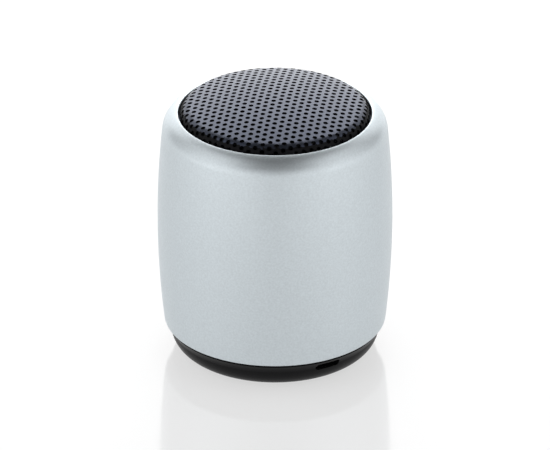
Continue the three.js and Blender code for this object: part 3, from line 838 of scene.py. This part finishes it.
def crumpled_foil():
    s = Surface("battery_foil", 0.35, 0.85)
    folds = s.noise(2.5 * MM, 5)
    s.colour(s.ramp(s.noise(6 * MM), shades((0.62, 0.64, 0.66), 0.04)))
    s.roughness(s.noise(0.5 * MM), 0.28, 0.44)
    s.bump((folds, 0.12 * MM), (s.noise(0.2 * MM), 0.005 * MM))
    return s.material


def clear_plastic():
    s = Surface("clear_plastic", 0.12, 0.0, Transmission_Weight=0.9, IOR=1.49)
    s.colour(s.ramp(s.noise(1 * MM), shades((0.88, 0.90, 0.92), 0.02)))
    s.roughness(s.noise(0.15 * MM), 0.08, 0.2)
    s.bump((s.noise(0.3 * MM), 0.003 * MM))
    return s.material


MATERIALS = {
    "anodised_aluminium": aluminium(),
    "grille_black": grille_black(),
    "base_black": grained(
        "base_black", (0.007, 0.007, 0.0075), 0.36, grain=0.12 * MM, depth=0.006 * MM, Specular_IOR_Level=0.1
    ),
    "silicone": grained("silicone", (0.014, 0.014, 0.015), 0.8, grain=0.3 * MM, depth=0.02 * MM),
    "dust_cloth": woven("dust_cloth", (0.006, 0.006, 0.007), 0.22 * MM),
    "chassis_black": grained("chassis_black", (0.02, 0.02, 0.022), 0.55, grain=0.2 * MM, depth=0.015 * MM),
    "foam": open_foam(),
    "clear_plastic": clear_plastic(),
    "rubber_black": grained("rubber_black", (0.012, 0.012, 0.012), 0.6, grain=0.25 * MM, depth=0.01 * MM),
    "black_steel": grained("black_steel", (0.03, 0.031, 0.034), 0.38, 0.3, grain=0.3 * MM, depth=0.008 * MM),
    "zinc_steel": turned_metal("zinc_steel", (0.66, 0.68, 0.70)),
    "nickel_plate": grained("nickel_plate", (0.70, 0.69, 0.66), 0.24, 1.0, grain=0.4 * MM, depth=0.003 * MM),
    "cone_pulp": fibrous("cone_pulp", (0.016, 0.016, 0.016), 0.85, 0.25 * MM, 0.05 * MM),
    "coil_former": grained("coil_former", (0.55, 0.24, 0.05), 0.25, grain=0.5 * MM, depth=0.004 * MM),
    "copper": grained("copper", (0.72, 0.30, 0.14), 0.25, 1.0, grain=0.1 * MM, depth=0.003 * MM),
    "damper_cloth": woven("damper_cloth", (0.45, 0.26, 0.08), 0.3 * MM, 0.8),
    "terminal_fibre": fibrous("terminal_fibre", (0.20, 0.10, 0.04), 0.7, 0.2 * MM, 0.02 * MM),
    "brass": grained("brass", (0.78, 0.70, 0.50), 0.28, 1.0, grain=0.2 * MM, depth=0.004 * MM),
    "battery_foil": crumpled_foil(),
    "circuit_board": circuit_board(),
    "chip_black": grained("chip_black", (0.016, 0.016, 0.017), 0.6, grain=0.08 * MM, depth=0.006 * MM),
    "antenna_ceramic": grained("antenna_ceramic", (0.78, 0.76, 0.68), 0.5, grain=0.15 * MM, depth=0.004 * MM),
    "nylon_white": grained("nylon_white", (0.80, 0.76, 0.66), 0.45, grain=0.3 * MM, depth=0.006 * MM),
    "led_lens": grained("led_lens", (0.85, 0.85, 0.70), 0.25, grain=0.2 * MM, depth=0.003 * MM),
    "wire_red": grained("wire_red", (0.42, 0.012, 0.016), 0.35, grain=0.3 * MM, depth=0.004 * MM),
    "wire_black": grained("wire_black", (0.012, 0.012, 0.012), 0.35, grain=0.3 * MM, depth=0.004 * MM),
}

# ---------------------------------------------------------------- camera, floor and lights


def make_stage():
    half, z = 6.0, -0.02 * MM  # just clear of the foot's face
    corners = [(-half, -half, z), (half, -half, z), (half, half, z), (-half, half, z)]
    floor = piece_from("floor", corners, [(0, 1, 2, 3)])
    s = Surface("floor_white", 0.1, IOR=1.38, Emission_Color=(1, 1, 1, 1), Emission_Strength=0.61)
    s.colour(s.ramp(s.noise(0.4), [(0.3, (0.31, 0.31, 0.31)), (0.7, (0.33, 0.33, 0.33))]))
    floor.data.materials.append(s.material)


CAMERA_AZIMUTH = math.radians(-30)
CAMERA_ELEVATION = math.radians(27.15)
CAMERA_DISTANCE = 1.457
CAMERA_LENS = 373  # millimetres, on a sensor 36 wide
TARGET = Vector((0, 0, 33.8 * MM))


def direction(azimuth, elevation):
    """From the object towards an azimuth, counted from the camera's own, and an elevation, in degrees."""
    a, e = CAMERA_AZIMUTH + math.radians(azimuth), math.radians(elevation)
    return Vector((math.sin(a) * math.cos(e), -math.cos(a) * math.cos(e), math.sin(e)))


def make_camera():
    data = bpy.data.cameras.new("camera")
    data.sensor_width = 36
    data.lens = CAMERA_LENS
    data.clip_start = 0.05
    camera = bpy.data.objects.new("camera", data)
    bpy.context.scene.collection.objects.link(camera)
    back = direction(0, math.degrees(CAMERA_ELEVATION))
    camera.location = TARGET + back * CAMERA_DISTANCE
    camera.rotation_mode = "QUATERNION"
    camera.rotation_quaternion = (-back).to_track_quat("-Z", "Y")
    bpy.context.scene.camera = camera


def softbox(name, azimuth, elevation, width, height, radiance):
    """A rectangular light that faces the object. radiance is what a white card would show."""
    data = bpy.data.lights.new(name, "AREA")
    data.shape = "RECTANGLE"
    data.size, data.size_y = width, height
    data.energy = radiance * math.pi * width * height
    light = bpy.data.objects.new(name, data)
    bpy.context.scene.collection.objects.link(light)
    towards = direction(azimuth, elevation)
    light.location = TARGET + towards * SOFTBOX_DISTANCE
    light.rotation_mode = "QUATERNION"
    light.rotation_quaternion = (-towards).to_track_quat("-Z", "Y")


# Softboxes all round, on the left and on the right of the camera alike: name, azimuth and elevation in
# degrees, width and height in metres, radiance. The strongest stands behind the object.
SOFTBOX_DISTANCE = 1.5
LEFT_GAIN = 1.04
RIGHT_GAIN = 0.96
MIDDLE_SOFTBOXES = [
    ("front", 0, 12, 0.8, 0.8, 0.5),
    ("back", 180, 27, 0.8, 1.6, 2.7),
    ("under", 0, -65, 1.6, 1.6, 1.6),  # below the floor, for views from there
]
PAIRED_SOFTBOXES = [
    ("front_low", 30, 12, 0.8, 0.8, 1.0),
    ("front_high", 30, 49, 0.8, 0.4, 0.3),
    ("quarter_low", 60, 12, 0.8, 0.8, 1.25),
    ("quarter_high", 60, 42, 0.8, 0.8, 0.85),
    ("side_low", 90, 12, 0.8, 0.8, 0.9),
    ("side_high", 90, 49, 0.8, 1.2, 0.75),
    ("rear_quarter", 120, 27, 0.8, 1.6, 0.4),
    ("rear", 150, 19, 0.8, 1.2, 1.4),
]


def make_lights():
    world = bpy.data.worlds.new("studio")
    world.use_nodes = True
    background = world.node_tree.nodes["Background"]
    background.inputs["Color"].default_value = (1, 1, 1, 1)
    background.inputs["Strength"].default_value = 0.02
    bpy.context.scene.world = world
    for name, azimuth, elevation, width, height, radiance in MIDDLE_SOFTBOXES:
        softbox(name, azimuth, elevation, width, height, radiance)
    for name, azimuth, elevation, width, height, radiance in PAIRED_SOFTBOXES:
        softbox(name + "_left", -azimuth, elevation, width, height, radiance * LEFT_GAIN)
        softbox(name + "_right", azimuth, elevation, width, height, radiance * RIGHT_GAIN)
    bpy.context.scene.view_settings.view_transform = "Standard"


# ---------------------------------------------------------------- assembly

NODE_SLOT = {row["node"]: row["material_slot"] for row in frame["record"]["subparts"]}
NODE_BODY = {node: body for body, nodes in frame["record"]["behaviour"]["bodies"].items() for node in nodes}


def finish_like(node, piece):
    piece.data.materials.clear()
    piece.data.materials.append(MATERIALS[NODE_SLOT[node]])


def stand_for(node, *pieces):
    """The pieces ride on the node's body, take its finish and, the first of them, replace it."""
    for piece in pieces:
        finish_like(node, piece)
        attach(piece, NODE_BODY[node])
    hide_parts(node)


def stretch_between(node, piece):
    """The piece takes the node's finish and has its placement baked into its mesh."""
    finish_like(node, piece)
    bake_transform(piece)


def flex_ring(node, pieces):
    """The ring's segments take the node's finish and replace it."""
    pieces = list(pieces)
    for k, piece in enumerate(pieces):
        stretch_between(node, piece)
    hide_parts(node)


def dress_frame_nodes(replaced):
    """Every CAD node gets its material. Those that stay get softened edges, or are smoothed if a lead."""
    for name, node in frame["nodes"].items():
        node.data.materials.clear()
        node.data.materials.append(MATERIALS[NODE_SLOT[name]])
        if name in replaced:
            continue
        if "lead" in name:
            rounded = node.modifiers.new("round", "SUBSURF")
            rounded.levels = rounded.render_levels = 1
        else:
            bevel = node.modifiers.new("edges", "BEVEL")
            bevel.width = 0.12 * MM
            bevel.segments = 2
            bevel.limit_method = "ANGLE"
            bevel.angle_limit = math.radians(40)
            bevel.harden_normals = False


make_camera()
make_stage()
make_lights()

REPLACEMENTS = {
    "outer_shell": [make_shell()],
    "grille": list(make_grille()),
    "base_cap": [make_base()],
    "foot_ring": [make_foot()],
    "power_button": [make_button()],
    "led_light_pipe": [make_light_pipe()],
    "dust_screen": [make_dust_screen()],
    "cone": [make_cone()],
    "dust_cap": [make_dust_cap()],
    "voice_coil_winding": [make_winding()],
    "voice_coil_former": [make_former()],
    "driver_yoke": [make_yoke()],
    "driver_magnet": [make_disc("magnet_disc", MAGNET_R, MAGNET_Z, MAGNET_TOP_Z, 0.25 * MM)],
    "pole_plate": [make_disc("pole_disc", POLE_R, POLE_Z, POLE_TOP_Z, 0.15 * MM)],
    "driver_gasket": [top_ring("gasket_ring", GASKET_Z, GASKET_TOP_Z)],
    "grille_retaining_ring": [top_ring("retaining_ring", RETAINER_Z, RETAINER_TOP_Z)],
}
for node, pieces in REPLACEMENTS.items():
    stand_for(node, *pieces)
# painted shade on the grille's skirt and on the walls of its holes
paint_shade_on_skirt_and_holes(REPLACEMENTS["grille"][0])
flex_ring("surround", make_surround())
flex_ring("damper", make_damper())
for pole, side in (("positive", 1), ("negative", -1)):
    braid = make_tinsel(side)
    stretch_between(f"tinsel_lead_{pole}", braid)
    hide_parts(f"tinsel_lead_{pole}")
dress_frame_nodes(
    set(REPLACEMENTS) | {"surround", "damper", "tinsel_lead_positive", "tinsel_lead_negative"}
)
